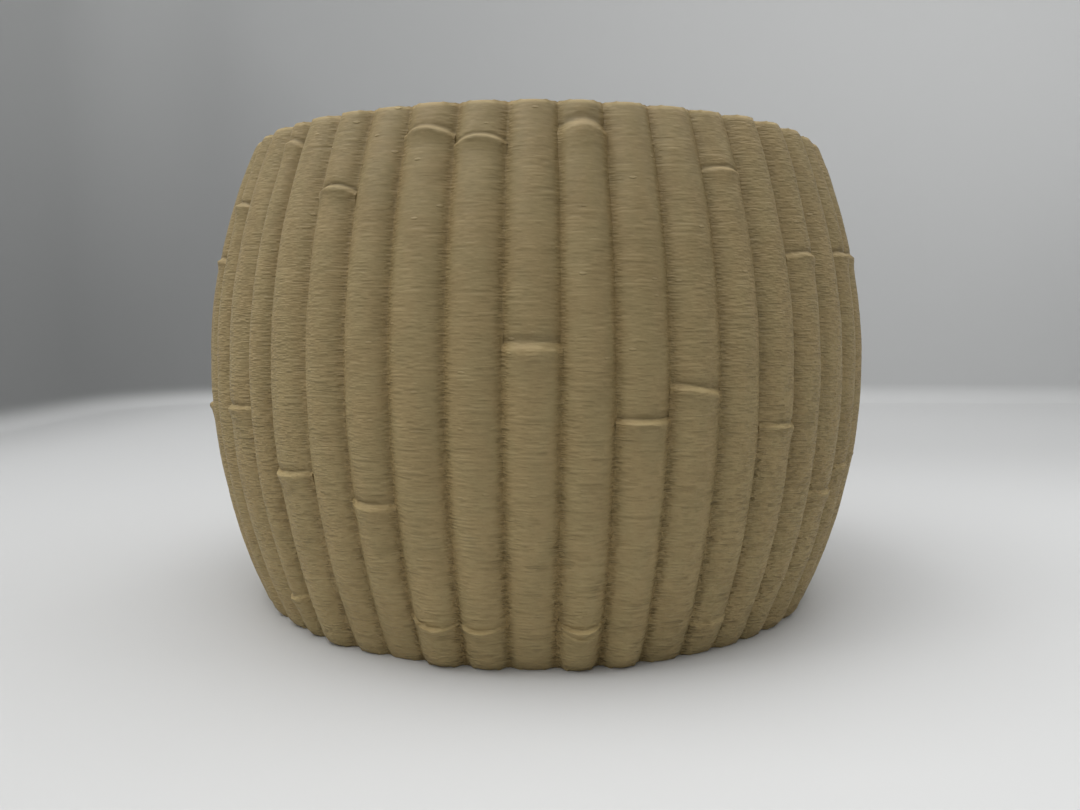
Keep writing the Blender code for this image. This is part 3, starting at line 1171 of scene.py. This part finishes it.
def light_room(scene):
    """A faint even light, which the camera sees as pale grey above the walls."""
    world = bpy.data.worlds.new("soft_room")
    world.use_nodes = True
    tree = world.node_tree
    background = tree.nodes["Background"]
    background.inputs["Color"].default_value = (1.0, 1.0, 1.0, 1)
    seen = add_node(tree, "ShaderNodeLightPath").outputs["Is Camera Ray"]
    tree.links.new(sum_of(tree, seen, ROOM_SEEN, ROOM_LIGHT), background.inputs["Strength"])
    scene.world = world


# The tray: where its walls stand, how far its floor lies under the pot, and the radius and
# segments of its corners and of the cove between floor and walls
TRAY_LEFT, TRAY_RIGHT, TRAY_FRONT, TRAY_BACK = -0.250, 0.45, -0.45, 0.385
TRAY_UNDER = 0.00004
CORNER, CORNER_SEGMENTS = 0.09, 12
COVE, COVE_SEGMENTS = 0.012, 6

# The camera as fitted to the photo: the focal length and the photo's width in pixels, the sensor's
# width and the nearest and furthest that it sees, its distance from the pot's axis and its height,
# how many degrees it stands round the pot, turns and looks down, and its roll in radians
FOCAL_PIXELS, PHOTO_WIDTH, SENSOR = 890.83, 1080, 36.0
SEEN_FROM, SEEN_TO = 0.005, 20.0
CAMERA_AWAY, CAMERA_UP = 0.1747, 0.05013
CAMERA_ROUND, CAMERA_TURN, CAMERA_DOWN, CAMERA_ROLL = 0.55, 0.34, 5.35, 0.0026


class BAMBOO_OT_studio(bpy.types.Operator):
    """Sets the pale floor with its low walls, the soft light and the camera"""

    bl_idname = "bamboo.studio"
    bl_label = "Studio"

    def execute(self, context):
        scene = context.scene
        self.make_tray(scene.bamboo_studio)
        light_room(scene)
        for softbox in SOFTBOXES:
            add_softbox(*softbox)
        self.set_camera(scene)
        scene.view_settings.view_transform = "Standard"
        return {"FINISHED"}

    def make_tray(self, settings):
        """A floor with low walls, rounded where they meet, open at the top."""
        roof = settings.wall_height / 2
        size = (TRAY_RIGHT - TRAY_LEFT, TRAY_BACK - TRAY_FRONT, settings.wall_height)
        middle = (
            (TRAY_LEFT + TRAY_RIGHT) / 2,
            (TRAY_FRONT + TRAY_BACK) / 2,
            settings.wall_height / 2 - TRAY_UNDER,
        )
        bpy.ops.object.select_all(action="DESELECT")
        bpy.ops.mesh.primitive_cube_add(size=1, location=middle, scale=size)
        tray = bpy.context.object
        tray.name = "studio_tray"
        bpy.ops.object.transform_apply(location=True, scale=True)
        start_edit(tray)
        pick_edges(tray, lambda one, other: (one.z > roof) != (other.z > roof))
        bpy.ops.mesh.bevel(offset=CORNER, segments=CORNER_SEGMENTS, affect="EDGES")
        pick_edges(tray, lambda one, other: max(one.z, other.z) < roof)
        bpy.ops.mesh.bevel(offset=COVE, segments=COVE_SEGMENTS, affect="EDGES")
        bpy.ops.mesh.select_all(action="DESELECT")
        shell = bmesh.from_edit_mesh(tray.data)
        for face in shell.faces:
            face.select = min(vert.co.z for vert in face.verts) > roof
        bmesh.update_edit_mesh(tray.data)
        bpy.ops.mesh.delete(type="ONLY_FACE")
        bpy.ops.mesh.select_all(action="SELECT")
        bpy.ops.mesh.normals_make_consistent(inside=True)
        end_edit()
        bpy.ops.object.shade_smooth_by_angle(angle=math.radians(TRAY_SMOOTH))
        tray.data.materials.append(stage_paint(settings))

    def set_camera(self, scene):
        """A camera where the photo's stood."""
        lens = bpy.data.cameras.new("photo_view")
        lens.sensor_width = SENSOR
        lens.lens = FOCAL_PIXELS * SENSOR / PHOTO_WIDTH
        lens.clip_start = SEEN_FROM
        lens.clip_end = SEEN_TO
        camera = bpy.data.objects.new("photo_view", lens)
        aside = math.radians(CAMERA_ROUND)
        camera.location = (CAMERA_AWAY * math.sin(aside), -CAMERA_AWAY * math.cos(aside), CAMERA_UP)
        turned = Matrix.Rotation(math.radians(CAMERA_TURN), 4, "Z")
        tipped = Matrix.Rotation(math.radians(90 - CAMERA_DOWN), 4, "X")
        rolled = Matrix.Rotation(CAMERA_ROLL, 4, "Z")
        camera.rotation_euler = (turned @ tipped @ rolled).to_euler()
        scene.collection.objects.link(camera)
        scene.camera = camera


class BAMBOO_PT_panel(bpy.types.Panel):
    """Lists the pot's pieces in the sidebar"""

    bl_label = "Bamboo Pot"
    bl_idname = "BAMBOO_PT_panel"
    bl_space_type = "VIEW_3D"
    bl_region_type = "UI"
    bl_category = "Bamboo Pot"

    def draw(self, context):
        column = self.layout.column()
        for operator in OPERATORS:
            column.operator(operator.bl_idname)


OPERATORS = (BAMBOO_OT_culms, BAMBOO_OT_wall, BAMBOO_OT_floor, BAMBOO_OT_studio)
CLASSES = (BAMBOO_PG_shape, BAMBOO_PG_print, BAMBOO_PG_studio, *OPERATORS, BAMBOO_PT_panel)


def register():
    for item in CLASSES:
        bpy.utils.register_class(item)
    bpy.types.Scene.bamboo_shape = bpy.props.PointerProperty(type=BAMBOO_PG_shape)
    bpy.types.Scene.bamboo_print = bpy.props.PointerProperty(type=BAMBOO_PG_print)
    bpy.types.Scene.bamboo_studio = bpy.props.PointerProperty(type=BAMBOO_PG_studio)


def unregister():
    del bpy.types.Scene.bamboo_shape
    del bpy.types.Scene.bamboo_print
    del bpy.types.Scene.bamboo_studio
    for item in reversed(CLASSES):
        bpy.utils.unregister_class(item)


def main():
    register()
    bpy.ops.bamboo.culms()
    bpy.ops.bamboo.wall()
    bpy.ops.bamboo.floor()
    bpy.ops.bamboo.studio()


if __name__ == "__main__":
    main()
